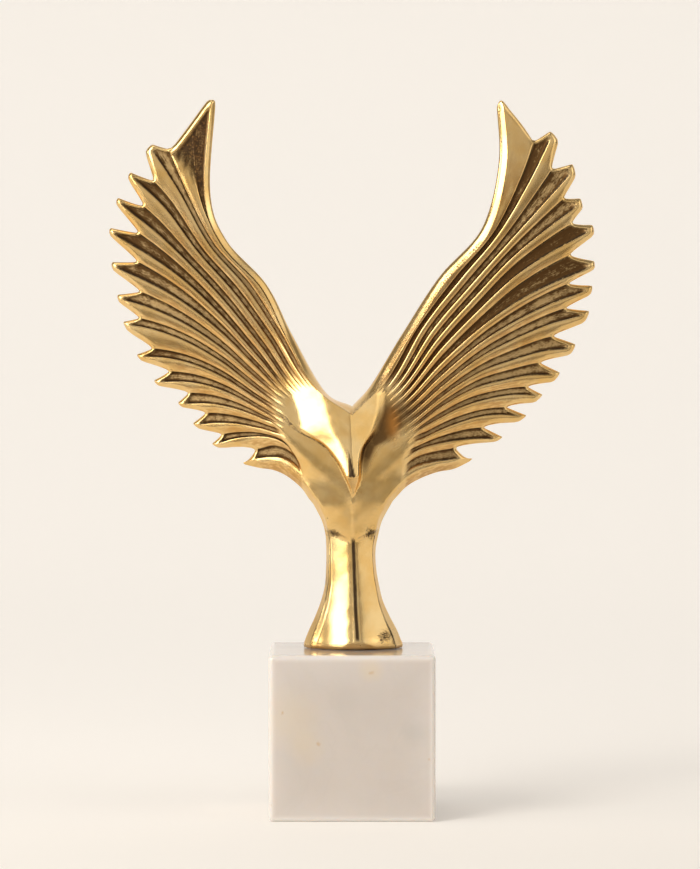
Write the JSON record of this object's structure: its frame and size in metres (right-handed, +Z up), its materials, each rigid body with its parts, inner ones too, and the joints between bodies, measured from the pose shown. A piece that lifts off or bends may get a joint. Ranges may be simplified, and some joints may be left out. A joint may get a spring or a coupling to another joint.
{
  "type": "bird sculpture",
  "caption": "Stylised bird with raised feathered wings and a faceted stem, cast in polished brass and standing on a square marble plinth.",
  "frame": {"origin": "centre of the plinth's underside", "axes": "+Z up, +X to the right across the wings seen from the front, -Y towards the front, where the beak points"},
  "size_m": [0.2368, 0.08, 0.3467],
  "materials": {
    "polished_brass": "polished, with dark patina in the carved channels",
    "white_marble": "polished"
  },
  "bodies": {
    "root": {"gilded_bird": "polished_brass", "marble_plinth": "white_marble"}
  },
  "joints": []
}
